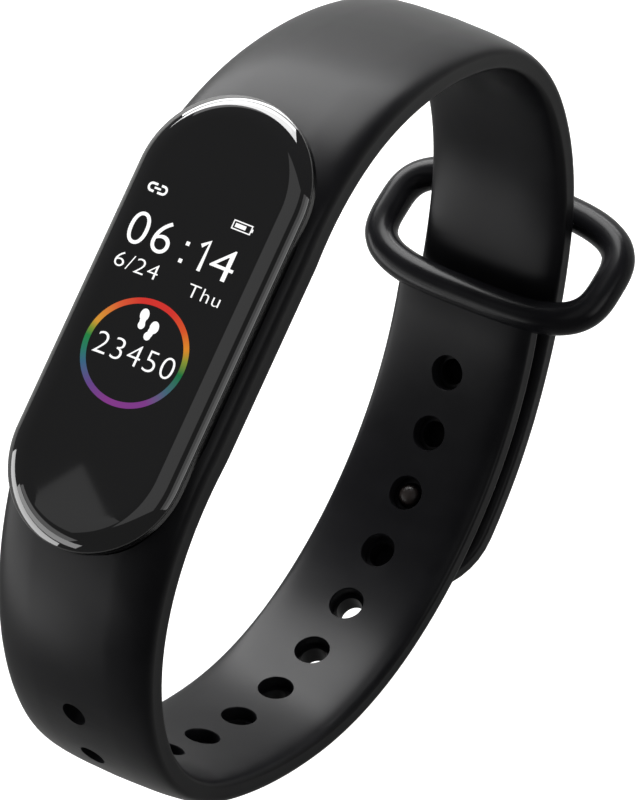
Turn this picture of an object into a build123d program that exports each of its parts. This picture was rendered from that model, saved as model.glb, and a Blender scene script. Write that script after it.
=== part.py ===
from build123d import *
from math import cos, pi, radians, sin, sqrt
import os

# Fitness tracker band: a stadium-shaped tracker pod in a one-piece strap that closes round the wrist.
# Frame: +X across the display and along the wrist, +Y towards the display's 12 o'clock, +Z out of the
# display.  The origin is the middle of the wrist opening, under the middle of the display.

os.makedirs("parts", exist_ok=True)

# ---- pod, outside --------------------------------------------------------------------------------
pod_length = 46.9
pod_width = 18.8
glass_top = 35.0            # height of the glass above the middle of the wrist opening
glass_thickness = 1.3
glass_round = 1.15          # rolled edge of the cover glass
adhesive_thickness = 0.1
flange_thickness = 0.7      # collar of the pod that carries the glass
collar_overhang = 0.8       # how far the collar stands out over the waist
housing_wall = 0.9
waist_depth = 6.2           # below the glass top, where the waist steps in
waist_step = 1.1
rim_height = 1.2            # from the waist step up to where the two housings meet
pod_depth = 8.6             # flat back of the pod below the glass top
floor_thickness = 0.8
window_length = 12.0
window_width = 7.0
window_lip = 0.75
window_proud = 0.8          # how far the sensor window stands out of the back

# ---- strap ---------------------------------------------------------------------------------------
fit_gap = 0.2               # between the pod and its cradle
cradle_wall = 1.6           # strap beside the waist of the pod
strap_depth = 7.1           # inner face of the strap below the glass top, at the pod
strap_width = 16.1          # at the back of the wrist
strap_side = 2.9            # thickness at the side edges, at the back
strap_crown = 0.4           # extra thickness in the middle, at the back
cradle_crown = 1.9          # the same next to the pod
edge_round = 0.9
taper_length = 45.0         # along each arm, from the pod's width to strap_width
lap_gap = 0.4               # between the holed arm and the tip that lies on it

straight_down = 9.6         # from the middle of the display to where the holed arm starts to bend
straight_up = 11.0          # the same on the side of the studded arm
holed_arm = [(27.0, 68.0), (20.7, 44.2), (47.2, 19.4), (30.5, 30.1), (36.6, 53.6)]   # radius, turn
studded_arm = [(25.1, 38.9), (36.6, 26.6), (21.7, 44.9)]

# ---- keeper ring at the end of the holed arm -----------------------------------------------------
ring_length = 26.0          # between the centre lines of its two limbs
ring_room = 5.7             # left inside the ring beside one strap thickness
ring_corner = 5.6
ring_bar = 3.4              # thickness of the round bar
ring_tilt = 49.5            # lean of the ring outwards from the end of the holed arm

# ---- adjusting holes and stud --------------------------------------------------------------------
hole_count = 13
hole_pitch = 6.5
first_hole = 8.1            # from the middle of the ring's bar
hole_radius = 1.3
hole_mouth_radius = 1.75    # counterbore on the wrist side
hole_mouth_depth = 1.3
stud_hole = 3               # the stud sits in the third hole from the ring
stud_head_gap = 0.2          # between the stud's head and its hole
stud_head_height = 0.8
stud_neck_radius = 0.85
stud_base_radius = 1.9
stud_base_thickness = 0.5
stud_shank_gap = 0.3
cap_radius = 2.6
cap_thickness = 1.0
flex_reach = 22.5           # along the strap, from the stud to where the tip flexes
tip_break = 0.3             # gap between the arm and the tip at the flexing place
tip_start = 9.5             # from the ring's bar to where the tip follows the holed arm

# ---- pod, inside (z levels are depths below the glass top) ---------------------------------------
touch_thickness = 0.2
display_length = 27.0
display_width = 12.6
display_thickness = 1.2
display_middle = 3.0
tape_thickness = 0.2
frame_thickness = 0.5
frame_clearance = 0.1
boss_height = 0.5
board_thickness = 0.6
board_clearance = 0.4
battery_width = 10.5
battery_swell = 0.1         # room left under the cell
part_gap = 0.3              # between neighbours inside the pod
sensor_board_thickness = 0.35
led_height = 0.45
screw_inset_x = 2.1         # from the edges of the board to the screws
screw_inset_y = 4.15
screw_radius = 0.4
screw_head_radius = 0.85
screw_head_height = 0.4
contact_spacing = 4.4
contact_inset = 2.45        # from the end of the foot's cavity
contact_radius = 0.9
contact_flange_radius = 1.2
contact_flange_thickness = 0.4
motor_inset = 1.65          # from the other end of it
motor_radius = 3.5
motor_height = 2.4
motor_wall = 0.25
motor_base_thickness = 0.2
shaft_radius = 0.4
shaft_clearance = 0.05
rotor_gap = 0.15

# ---- what follows from them ----------------------------------------------------------------------
collar_top = glass_thickness + adhesive_thickness
collar_bottom = collar_top + flange_thickness
split_depth = waist_depth - rim_height
waist_length = pod_length - 2 * collar_overhang
waist_width = pod_width - 2 * collar_overhang
foot_length = waist_length - 2 * waist_step
foot_width = waist_width - 2 * waist_step
cavity_length = waist_length - 2 * housing_wall
cavity_width = waist_width - 2 * housing_wall
foot_cavity_length = cavity_length - 2 * waist_step
foot_cavity_width = cavity_width - 2 * waist_step
floor_level = pod_depth - floor_thickness
cradle_width = waist_width + 2 * fit_gap + 2 * cradle_wall
cradle_side = strap_depth - collar_bottom - fit_gap
strap_thickness = strap_side + strap_crown
stud_head_radius = hole_radius - stud_head_gap
stud_shank_radius = hole_radius - stud_shank_gap
ring_depth = ring_bar + strap_thickness + ring_room


def depth(below):
    """Height of a level that lies a given depth below the glass top."""
    return glass_top - below


def level(below):
    """Plane parallel to the display, a given depth below the glass top."""
    return Plane.XY.offset(depth(below))


def taper(distance, near, far):
    """Strap size a distance along an arm, from near at the pod to far at the back of the wrist."""
    left = max(0.0, 1.0 - distance / taper_length)
    return far + (near - far) * left**1.5


def station(path, distance, sense):
    """Plane across an arm: x over the width, y towards the wrist, z along the band."""
    share = distance / path.length
    return Plane(origin=path @ share, x_dir=(1, 0, 0), z_dir=(path % share) * sense)


def strap_section(plane, distance):
    """Rounded section of the strap: flat towards the wrist, crowned on the outside."""
    width = taper(distance, cradle_width, strap_width)
    side = taper(distance, cradle_side, strap_side)
    crown = taper(distance, cradle_crown, strap_crown)
    with BuildSketch(plane) as section:
        with BuildLine():
            Polyline((-width / 2, -side), (-width / 2, 0), (width / 2, 0), (width / 2, -side))
            ThreePointArc((width / 2, -side), (0, -side - crown), (-width / 2, -side))
        make_face()
        fillet(section.vertices(), edge_round)
    return section.sketch


def spaced(start, end, step):
    """Evenly spaced distances from start to end, no further apart than step."""
    count = int((end - start) / step) + 1
    return [start + (end - start) * i / count for i in range(count + 1)]


# ---- centre lines of the strap's inner face, in the plane across the wrist -----------------------
with BuildLine(Plane.YZ) as holed_path:
    bend = None
    for radius, turn in holed_arm:
        if bend is None:
            bend = JernArc((-straight_down, depth(strap_depth)), (-1, 0), radius, turn)
        else:
            bend = JernArc(bend @ 1, bend % 1, radius, turn)

holed_line = holed_path.wire()
holed_length = holed_line.length
ring_bar_plane = station(holed_line, holed_length, -1)
first_hole_at = holed_length - first_hole
stud_at = first_hole_at - hole_pitch * (stud_hole - 1)
tip_round = strap_width / 2
tip_end_at = stud_at - tip_round
tip_lift = strap_thickness + lap_gap

# the tip follows the holed arm's last bend, one strap thickness and a gap further out
lap_plane = station(holed_line, holed_length - tip_start, -1)
lap_point = lap_plane.origin - lap_plane.y_dir * tip_lift
lap_heading = lap_plane.z_dir
lap_radius = holed_arm[-1][0] + tip_lift
lap_turn = (holed_length - tip_start - tip_end_at) / holed_arm[-1][0] * 180 / pi


def closing_corner(start, start_heading, end, end_heading):
    """Where the two tangent arcs that join two headings meet."""
    gap = end - start
    along = start_heading + end_heading
    facing = 2 * (1 - start_heading.dot(end_heading))
    reach = (-gap.dot(along) + sqrt(gap.dot(along) ** 2 + facing * gap.dot(gap))) / facing
    return (start + start_heading * reach + end - end_heading * reach) * 0.5


with BuildLine(Plane.YZ) as studded_path:
    bend = None
    for radius, turn in studded_arm:
        if bend is None:
            bend = JernArc((straight_up, depth(strap_depth)), (1, 0), radius, -turn)
        else:
            bend = JernArc(bend @ 1, bend % 1, radius, -turn)
    corner = closing_corner(bend @ 1, bend % 1, lap_point, lap_heading)
    closing = TangentArc(bend @ 1, corner, tangent=bend % 1)
    TangentArc(corner, lap_point, tangent=closing % 1)
    JernArc(lap_point, lap_heading, lap_radius, -lap_turn)

studded_line = studded_path.wire()
studded_length = studded_line.length
flex_at = studded_length - tip_round * lap_radius / holed_arm[-1][0] - flex_reach

# ---- strap: cradle, both arms and the keeper ring, moulded in one --------------------------------
ring_lean = radians(ring_tilt)
ring_side = ring_bar_plane.z_dir * -cos(ring_lean) - ring_bar_plane.y_dir * sin(ring_lean)
bar_middle = ring_bar_plane.origin - ring_bar_plane.y_dir * (strap_side / 2)
ring_plane = Plane(origin=bar_middle + ring_side * (ring_depth / 2), x_dir=(1, 0, 0),
                   z_dir=Vector(1, 0, 0).cross(ring_side))

with BuildSketch(ring_plane) as ring_outline:
    RectangleRounded(ring_length, ring_depth, ring_corner)
ring_line = ring_outline.sketch.wires()[0]

holed_stops = spaced(0, taper_length, 7.5) + spaced(taper_length, holed_length, 11.0)[1:]
arm_end = flex_at - tip_break / 2
studded_stops = spaced(0, taper_length, 7.5) + spaced(taper_length, arm_end, 11.0)[1:]

with BuildPart() as strap_body:
    cradle_section = strap_section(station(holed_line, 0, -1), 0)
    extrude(cradle_section, amount=straight_down + straight_up, dir=(0, 1, 0))
    loft([strap_section(station(holed_line, at, -1), at) for at in holed_stops])
    loft([strap_section(station(studded_line, at, 1), at) for at in studded_stops])
    with BuildSketch(Plane(origin=ring_line @ 0, z_dir=ring_line % 0)):
        Circle(ring_bar / 2)
    sweep(path=ring_line)
    with BuildSketch(level(collar_bottom + fit_gap)):
        SlotOverall(pod_length + 2 * fit_gap, pod_width + 2 * fit_gap, rotation=90)
    extrude(amount=strap_depth, mode=Mode.SUBTRACT)
    with BuildSketch(level(0)):
        SlotOverall(waist_length + 2 * fit_gap, waist_width + 2 * fit_gap, rotation=90)
    extrude(amount=-(waist_depth + fit_gap), mode=Mode.SUBTRACT)
    with BuildSketch(level(waist_depth + fit_gap)):
        SlotOverall(foot_length + 2 * fit_gap, foot_width + 2 * fit_gap, rotation=90)
    extrude(amount=-2 * strap_depth, mode=Mode.SUBTRACT)
    hole_planes = []
    for i in range(hole_count):
        across = station(holed_line, first_hole_at - i * hole_pitch, -1)
        hole_planes.append(Plane(origin=across.origin, x_dir=(1, 0, 0), z_dir=across.y_dir))
    with Locations(*hole_planes):
        CounterBoreHole(hole_radius, hole_mouth_radius, hole_mouth_depth, depth=2 * strap_thickness)
strap_body.part.label = "strap_body"
export_step(strap_body.part, "parts/strap_body.step")

# ---- free end of the studded arm, which flexes out to let the stud go ----------------------------
stud_plane = Plane(origin=station(holed_line, stud_at, -1).origin, x_dir=(1, 0, 0),
                   z_dir=station(holed_line, stud_at, -1).y_dir * -1)
tip_inner = tip_lift                      # heights above the wrist side of the holed arm, along the stud
tip_outer = tip_lift + strap_thickness
tip_stops = spaced(flex_at + tip_break / 2, studded_length, 6.0)

with BuildPart() as strap_tip:
    loft([strap_section(station(studded_line, at, 1), at) for at in tip_stops])
    with BuildSketch(stud_plane):
        Circle(tip_round)
        with Locations((0, -flex_reach)):
            Rectangle(strap_width, 2 * flex_reach)
    extrude(amount=2 * tip_outer, both=True, mode=Mode.INTERSECT)
    with BuildSketch(stud_plane.offset(tip_inner)):
        Circle(stud_base_radius)
    extrude(amount=stud_base_thickness, mode=Mode.SUBTRACT)
    with BuildSketch(stud_plane.offset(tip_inner)):
        Circle(stud_shank_radius)
    extrude(amount=strap_thickness, mode=Mode.SUBTRACT)
    with BuildSketch(stud_plane.offset(tip_outer - cap_thickness)):
        Circle(cap_radius)
    extrude(amount=strap_thickness, mode=Mode.SUBTRACT)
strap_tip.part.label = "strap_tip"
export_step(strap_tip.part, "parts/strap_tip.step")

# ---- stud pressed through the tip, and the cap that rivets it ------------------------------------
stud_axis = Axis(stud_plane.origin, stud_plane.z_dir)
with BuildPart() as closure_stud:
    head_bottom = hole_mouth_depth - stud_head_height
    with BuildSketch(stud_plane.offset(head_bottom)):
        Circle(stud_head_radius)
    extrude(amount=stud_head_height)
    fillet(closure_stud.edges().sort_by(stud_axis)[0], stud_head_height * 0.6)
    with BuildSketch(stud_plane.offset(hole_mouth_depth)):
        Circle(stud_neck_radius)
    extrude(amount=tip_inner - hole_mouth_depth)
    with BuildSketch(stud_plane.offset(tip_inner)):
        Circle(stud_base_radius)
    extrude(amount=stud_base_thickness)
    with BuildSketch(stud_plane.offset(tip_inner + stud_base_thickness)):
        Circle(stud_shank_radius)
    extrude(amount=strap_thickness - stud_base_thickness - cap_thickness)
closure_stud.part.label = "closure_stud"
export_step(closure_stud.part, "parts/closure_stud.step")

with BuildPart() as stud_cap:
    with BuildSketch(stud_plane.offset(tip_outer - cap_thickness)):
        Circle(cap_radius)
    extrude(amount=cap_thickness)
    fillet(stud_cap.faces().sort_by(stud_axis)[-1].edges(), cap_thickness * 0.3)
stud_cap.part.label = "stud_cap"
export_step(stud_cap.part, "parts/stud_cap.step")

# ---- pod shell -----------------------------------------------------------------------------------
with BuildPart() as cover_glass:
    with BuildSketch(level(glass_thickness)):
        SlotOverall(pod_length, pod_width, rotation=90)
    extrude(amount=glass_thickness)
    fillet(cover_glass.faces().sort_by(Axis.Z)[-1].edges(), glass_round)
cover_glass.part.label = "cover_glass"
export_step(cover_glass.part, "parts/cover_glass.step")

with BuildPart() as glass_adhesive:
    with BuildSketch(level(collar_top)):
        SlotOverall(waist_length, waist_width, rotation=90)
        SlotOverall(cavity_length, cavity_width, rotation=90, mode=Mode.SUBTRACT)
    extrude(amount=adhesive_thickness)
glass_adhesive.part.label = "glass_adhesive"
export_step(glass_adhesive.part, "parts/glass_adhesive.step")

with BuildPart() as upper_housing:
    with BuildSketch(level(collar_bottom)):
        SlotOverall(pod_length, pod_width, rotation=90)
    extrude(amount=flange_thickness)
    with BuildSketch(level(split_depth)):
        SlotOverall(waist_length, waist_width, rotation=90)
    extrude(amount=split_depth - collar_bottom)
    with BuildSketch(level(split_depth)):
        SlotOverall(cavity_length, cavity_width, rotation=90)
    extrude(amount=split_depth, mode=Mode.SUBTRACT)
upper_housing.part.label = "upper_housing"
export_step(upper_housing.part, "parts/upper_housing.step")

seal_height = 0.3
seal_margin = housing_wall / 3
with BuildPart() as housing_seal:
    with BuildSketch(level(split_depth + seal_height)):
        SlotOverall(waist_length - 2 * seal_margin, waist_width - 2 * seal_margin, rotation=90)
        SlotOverall(cavity_length, cavity_width, rotation=90, mode=Mode.SUBTRACT)
    extrude(amount=seal_height)
housing_seal.part.label = "housing_seal"
export_step(housing_seal.part, "parts/housing_seal.step")

contact_y = -(foot_cavity_length / 2 - contact_inset)
contact_places = [(-contact_spacing / 2, contact_y), (contact_spacing / 2, contact_y)]
with BuildPart() as lower_housing:
    with BuildSketch(level(waist_depth)):
        SlotOverall(waist_length, waist_width, rotation=90)
    extrude(amount=waist_depth - split_depth)
    with BuildSketch(level(waist_depth)):
        SlotOverall(foot_length, foot_width, rotation=90)
    extrude(amount=-(pod_depth - waist_depth))
    fillet(lower_housing.faces().sort_by(Axis.Z)[0].edges(), housing_wall * 0.6)
    with BuildSketch(level(split_depth)):
        SlotOverall(cavity_length, cavity_width, rotation=90)
    extrude(amount=-(waist_depth - split_depth - housing_wall / 2), mode=Mode.SUBTRACT)
    with BuildSketch(level(split_depth)):
        SlotOverall(foot_cavity_length, foot_cavity_width, rotation=90)
    extrude(amount=-(floor_level - split_depth), mode=Mode.SUBTRACT)
    with BuildSketch(level(split_depth)):
        SlotOverall(waist_length - 2 * seal_margin, waist_width - 2 * seal_margin, rotation=90)
    extrude(amount=-seal_height, mode=Mode.SUBTRACT)
    with BuildSketch(level(floor_level)):
        SlotOverall(window_length, window_width, rotation=90)
        with Locations(*contact_places):
            Circle(contact_radius)
    extrude(amount=-floor_thickness, mode=Mode.SUBTRACT)
lower_housing.part.label = "lower_housing"
export_step(lower_housing.part, "parts/lower_housing.step")

with BuildPart() as sensor_window:
    with BuildSketch(level(floor_level)):
        SlotOverall(window_length, window_width, rotation=90)
    extrude(amount=-floor_thickness)
    with BuildSketch(level(pod_depth)):
        SlotOverall(window_length + 2 * window_lip, window_width + 2 * window_lip, rotation=90)
    extrude(amount=-window_proud)
    fillet(sensor_window.faces().sort_by(Axis.Z)[0].edges(), window_proud * 0.75)
sensor_window.part.label = "sensor_window"
export_step(sensor_window.part, "parts/sensor_window.step")

# ---- display stack -------------------------------------------------------------------------------
with BuildPart() as touch_panel:
    with BuildSketch(level(glass_thickness + touch_thickness)):
        SlotOverall(cavity_length - 2 * frame_clearance, cavity_width - 2 * frame_clearance, rotation=90)
    extrude(amount=touch_thickness)
touch_panel.part.label = "touch_panel"
export_step(touch_panel.part, "parts/touch_panel.step")

display_top = glass_thickness + touch_thickness
display_back = display_top + display_thickness
with BuildPart() as display_panel:
    with BuildSketch(level(display_back)):
        with Locations((0, display_middle)):
            RectangleRounded(display_width, display_length, 1.0)
    extrude(amount=display_thickness)
display_panel.part.label = "display_panel"
export_step(display_panel.part, "parts/display_panel.step")

with BuildPart() as display_tape:
    with BuildSketch(level(display_back + tape_thickness)):
        with Locations((0, display_middle)):
            Rectangle(display_width - 1.0, display_length - 1.0)
    extrude(amount=tape_thickness)
display_tape.part.label = "display_tape"
export_step(display_tape.part, "parts/display_tape.step")

frame_top = display_back + tape_thickness
frame_bottom = frame_top + frame_thickness
board_top = frame_bottom + boss_height
board_bottom = board_top + board_thickness
display_foot = display_middle - display_length / 2
flex_slot_y = display_foot - 2.0
flex_width = 6.0
board_length = cavity_length - 2 * board_clearance
board_width = cavity_width - 2 * board_clearance
screw_x = board_width / 2 - screw_inset_x
screw_y = board_length / 2 - screw_inset_y
screw_places = [(x, y) for x in (-screw_x, screw_x) for y in (-screw_y, screw_y)]
with BuildPart() as display_frame:
    with BuildSketch(level(frame_bottom)):
        SlotOverall(cavity_length - 2 * frame_clearance, cavity_width - 2 * frame_clearance, rotation=90)
        with Locations((0, flex_slot_y)):
            Rectangle(flex_width + 1.0, 1.6, mode=Mode.SUBTRACT)
    extrude(amount=frame_thickness)
    with BuildSketch(level(board_top)):
        with Locations(*screw_places):
            Circle(screw_head_radius)
    extrude(amount=boss_height)
    with BuildSketch(level(board_top)):
        with Locations(*screw_places):
            Circle(screw_radius)
    extrude(amount=boss_height + frame_thickness / 2, mode=Mode.SUBTRACT)
display_frame.part.label = "display_frame"
export_step(display_frame.part, "parts/display_frame.step")

flex_thickness = 0.12
flex_start = depth(display_top + display_thickness / 2)
flex_land = depth(board_top) + flex_thickness / 2
with BuildPart() as display_flex:
    with BuildSketch(Plane.YZ):
        with BuildLine():
            FilletPolyline((display_foot, flex_start), (flex_slot_y, flex_start), (flex_slot_y, flex_land),
                           (flex_slot_y - 2.5, flex_land), radius=0.4)
        trace(line_width=flex_thickness)
    extrude(amount=flex_width / 2, both=True)
display_flex.part.label = "display_flex"
export_step(display_flex.part, "parts/display_flex.step")

# ---- main board and what sits on it --------------------------------------------------------------
with BuildPart() as main_board:
    with BuildSketch(level(board_bottom)):
        SlotOverall(board_length, board_width, rotation=90)
        with Locations(*screw_places):
            Circle(screw_radius, mode=Mode.SUBTRACT)
    extrude(amount=board_thickness)
main_board.part.label = "main_board"
export_step(main_board.part, "parts/main_board.step")


def board_block(label, width, length, height, place, under=True):
    """Small rectangular component soldered under the main board, or on top of it."""
    base = board_bottom + height if under else board_top
    with BuildPart() as block:
        with BuildSketch(level(base)):
            with Locations(place):
                Rectangle(width, length)
        extrude(amount=height)
    block.part.label = label
    export_step(block.part, f"parts/{label}.step")
    return block.part


shield_width = 8.4
shield_length = 6.4
shield_height = 1.1
shield_wall = 0.15
shield_y = contact_y + contact_flange_radius + part_gap + shield_length / 2
motor_y = foot_cavity_length / 2 - motor_inset - motor_radius
battery_head = motor_y - motor_radius - part_gap
board_block("radio_chip", 4.5, 4.5, 0.7, (-1.5, shield_y))
board_block("memory_chip", 2.4, 3.0, 0.5, (2.4, shield_y + 0.9))
board_block("power_chip", 1.6, 1.6, 0.45, (2.4, shield_y - 1.9))
board_block("motion_sensor", 2.0, 2.0, 0.4, (-screw_x + 0.5, battery_head + part_gap + 1.0))
board_block("crystal", 1.2, 2.0, 0.45, (screw_x - 0.5, battery_head + part_gap + 1.0))
board_block("chip_antenna", 5.0, 1.2, 0.4, (0, board_length / 2 - 1.6), under=False)

with BuildPart() as shield_can:
    with BuildSketch(level(board_bottom + shield_height)):
        with Locations((0, shield_y)):
            RectangleRounded(shield_width, shield_length, 0.4)
    extrude(amount=shield_height)
    with BuildSketch(level(board_bottom + shield_height - shield_wall)):
        with Locations((0, shield_y)):
            Rectangle(shield_width - 2 * shield_wall, shield_length - 2 * shield_wall)
    extrude(amount=shield_height, mode=Mode.SUBTRACT)
shield_can.part.label = "shield_can"
export_step(shield_can.part, "parts/shield_can.step")

capacitor_size = (0.5, 1.0)
capacitor_inset = 1.1
capacitor_pitch = 3.0
with BuildPart() as board_capacitors:
    with BuildSketch(level(board_bottom + capacitor_size[0])):
        with GridLocations(board_width - capacitor_inset * 2, capacitor_pitch, 2, 3):
            Rectangle(*capacitor_size)
    extrude(amount=capacitor_size[0])
board_capacitors.part.label = "board_capacitors"
export_step(board_capacitors.part, "parts/board_capacitors.step")

with BuildPart() as board_screws:
    with BuildSketch(level(board_bottom + screw_head_height)):
        with Locations(*screw_places):
            Circle(screw_head_radius)
    extrude(amount=screw_head_height)
    with BuildSketch(level(board_bottom)):
        with Locations(*screw_places):
            Circle(screw_radius)
    extrude(amount=board_thickness + boss_height)
board_screws.part.label = "board_screws"
export_step(board_screws.part, "parts/board_screws.step")

# ---- battery -------------------------------------------------------------------------------------
tab_thickness = 0.1
tab_width = 1.2
tab_reach = 0.6
led_top = floor_level - led_height
battery_top = board_bottom + tape_thickness
battery_bottom = led_top - sensor_board_thickness - battery_swell
battery_thickness = battery_bottom - battery_top
cell_foot = shield_y + shield_length / 2 + part_gap + tab_reach
battery_length = battery_head - cell_foot
battery_middle = (battery_head + cell_foot) / 2
with BuildPart() as battery_tape:
    with BuildSketch(level(battery_top)):
        with Locations((0, battery_middle)):
            Rectangle(battery_width - 2.0, battery_length - 2.0)
    extrude(amount=tape_thickness)
battery_tape.part.label = "battery_tape"
export_step(battery_tape.part, "parts/battery_tape.step")

with BuildPart() as battery_cell:
    with BuildSketch(level(battery_bottom)):
        with Locations((0, battery_middle)):
            RectangleRounded(battery_width, battery_length, 0.8)
    extrude(amount=battery_thickness)
    fillet(battery_cell.edges().filter_by(GeomType.LINE).filter_by(Axis.Y), 0.5)
battery_cell.part.label = "battery_cell"
export_step(battery_cell.part, "parts/battery_cell.step")

tab_level = depth((battery_top + battery_bottom) / 2)
with BuildPart() as battery_tabs:
    for x in (-3.0, 3.0):
        with BuildSketch(Plane.YZ.offset(x - tab_width / 2)):
            with Locations((cell_foot - tab_reach / 2, tab_level)):
                Rectangle(tab_reach, tab_thickness)
            riser = (tab_level + depth(board_bottom)) / 2
            with Locations((cell_foot - tab_reach + tab_thickness / 2, riser)):
                Rectangle(tab_thickness, depth(board_bottom) - tab_level)
        extrude(amount=tab_width)
battery_tabs.part.label = "battery_tabs"
export_step(battery_tabs.part, "parts/battery_tabs.step")

# ---- pulse sensor over the back window -----------------------------------------------------------
sensor_board_width = foot_cavity_width - 2 * board_clearance
with BuildPart() as sensor_board:
    with BuildSketch(level(led_top)):
        RectangleRounded(sensor_board_width, window_length + 1.0, 1.0)
    extrude(amount=sensor_board_thickness)
sensor_board.part.label = "sensor_board"
export_step(sensor_board.part, "parts/sensor_board.step")

with BuildPart() as pulse_leds:
    with BuildSketch(level(floor_level)):
        with Locations((0, -3.6), (0, 3.6)):
            Rectangle(1.6, 1.2)
    extrude(amount=led_height)
pulse_leds.part.label = "pulse_leds"
export_step(pulse_leds.part, "parts/pulse_leds.step")

with BuildPart() as photodiode:
    with BuildSketch(level(floor_level)):
        Rectangle(2.4, 2.2)
    extrude(amount=led_height)
photodiode.part.label = "photodiode"
export_step(photodiode.part, "parts/photodiode.step")

with BuildPart() as light_baffle:
    with BuildSketch(level(floor_level)):
        Rectangle(4.2, 4.0)
        Rectangle(3.0, 2.8, mode=Mode.SUBTRACT)
    extrude(amount=led_height)
light_baffle.part.label = "light_baffle"
export_step(light_baffle.part, "parts/light_baffle.step")

# ---- charging contacts and their springs ---------------------------------------------------------
contact_recess = 0.1
with BuildPart() as charge_contacts:
    with BuildSketch(level(pod_depth - contact_recess)):
        with Locations(*contact_places):
            Circle(contact_radius)
    extrude(amount=floor_thickness - contact_recess)
    with BuildSketch(level(floor_level)):
        with Locations(*contact_places):
            Circle(contact_flange_radius)
    extrude(amount=contact_flange_thickness)
charge_contacts.part.label = "charge_contacts"
export_step(charge_contacts.part, "parts/charge_contacts.step")

spring_thickness = 0.12
spring_width = 1.2
spring_reach = 0.8          # half the length of each leaf
spring_bend = 0.2
leaf_low = depth(floor_level - contact_flange_thickness) + spring_thickness / 2
leaf_high = depth(board_bottom) - spring_thickness / 2
leaf_middle = (leaf_low + leaf_high) / 2
leaf_back = contact_y - spring_reach
leaf_front = contact_y + spring_reach
with BuildPart() as contact_springs:
    for place in contact_places:
        with BuildSketch(Plane.YZ.offset(place[0] - spring_width / 2)):
            with BuildLine():
                FilletPolyline((leaf_back, leaf_low), (leaf_front, leaf_low), (leaf_back, leaf_middle),
                               (leaf_front, leaf_high), (leaf_back, leaf_high), radius=spring_bend)
            trace(line_width=spring_thickness)
        extrude(amount=spring_width)
contact_springs.part.label = "contact_springs"
export_step(contact_springs.part, "parts/contact_springs.step")

# ---- vibration motor: coin motor with an eccentric rotor -----------------------------------------
motor_bottom = floor_level
motor_top = motor_bottom - motor_height
base_top = motor_bottom - motor_base_thickness
magnet_height = 0.6
rotor_bottom = base_top - magnet_height - rotor_gap
rotor_top = motor_top + motor_wall + rotor_gap
rotor_radius = motor_radius - motor_wall - rotor_gap
weight_arc = 150
weight_inner = 1.5
with BuildPart() as motor_base:
    with BuildSketch(level(motor_bottom)):
        with Locations((0, motor_y)):
            Circle(motor_radius)
    extrude(amount=motor_base_thickness)
motor_base.part.label = "motor_base"
export_step(motor_base.part, "parts/motor_base.step")

with BuildPart() as motor_can:
    with BuildSketch(level(base_top)):
        with Locations((0, motor_y)):
            Circle(motor_radius)
    extrude(amount=motor_height - motor_base_thickness)
    with BuildSketch(level(base_top)):
        with Locations((0, motor_y)):
            Circle(motor_radius - motor_wall)
    extrude(amount=motor_height - motor_base_thickness - motor_wall, mode=Mode.SUBTRACT)
motor_can.part.label = "motor_can"
export_step(motor_can.part, "parts/motor_can.step")

with BuildPart() as motor_shaft:
    with BuildSketch(level(base_top)):
        with Locations((0, motor_y)):
            Circle(shaft_radius)
    extrude(amount=motor_height - motor_base_thickness - motor_wall)
motor_shaft.part.label = "motor_shaft"
export_step(motor_shaft.part, "parts/motor_shaft.step")

with BuildPart() as motor_magnet:
    with BuildSketch(level(base_top)):
        with Locations((0, motor_y)):
            Circle(rotor_radius - 0.3)
            Circle(shaft_radius + 0.6, mode=Mode.SUBTRACT)
    extrude(amount=magnet_height)
motor_magnet.part.label = "motor_magnet"
export_step(motor_magnet.part, "parts/motor_magnet.step")

with BuildPart() as motor_rotor:
    with BuildSketch(level(rotor_bottom)):
        with Locations((0, motor_y)):
            Circle(weight_inner)
            Circle(shaft_radius + shaft_clearance, mode=Mode.SUBTRACT)
    extrude(amount=rotor_bottom - rotor_top)
motor_rotor.part.label = "motor_rotor"
export_step(motor_rotor.part, "parts/motor_rotor.step")

with BuildPart() as rotor_weight:
    with BuildSketch(level(rotor_bottom)):
        with BuildLine():
            tip_angle = 90 - weight_arc / 2
            outer = CenterArc((0, motor_y), rotor_radius, tip_angle, weight_arc)
            inner = CenterArc((0, motor_y), weight_inner, tip_angle, weight_arc)
            Line(outer @ 0, inner @ 0)
            Line(outer @ 1, inner @ 1)
        make_face()
    extrude(amount=rotor_bottom - rotor_top)
rotor_weight.part.label = "rotor_weight"
export_step(rotor_weight.part, "parts/rotor_weight.step")
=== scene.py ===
import math
import bpy
from mathutils import Matrix, Vector


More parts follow.
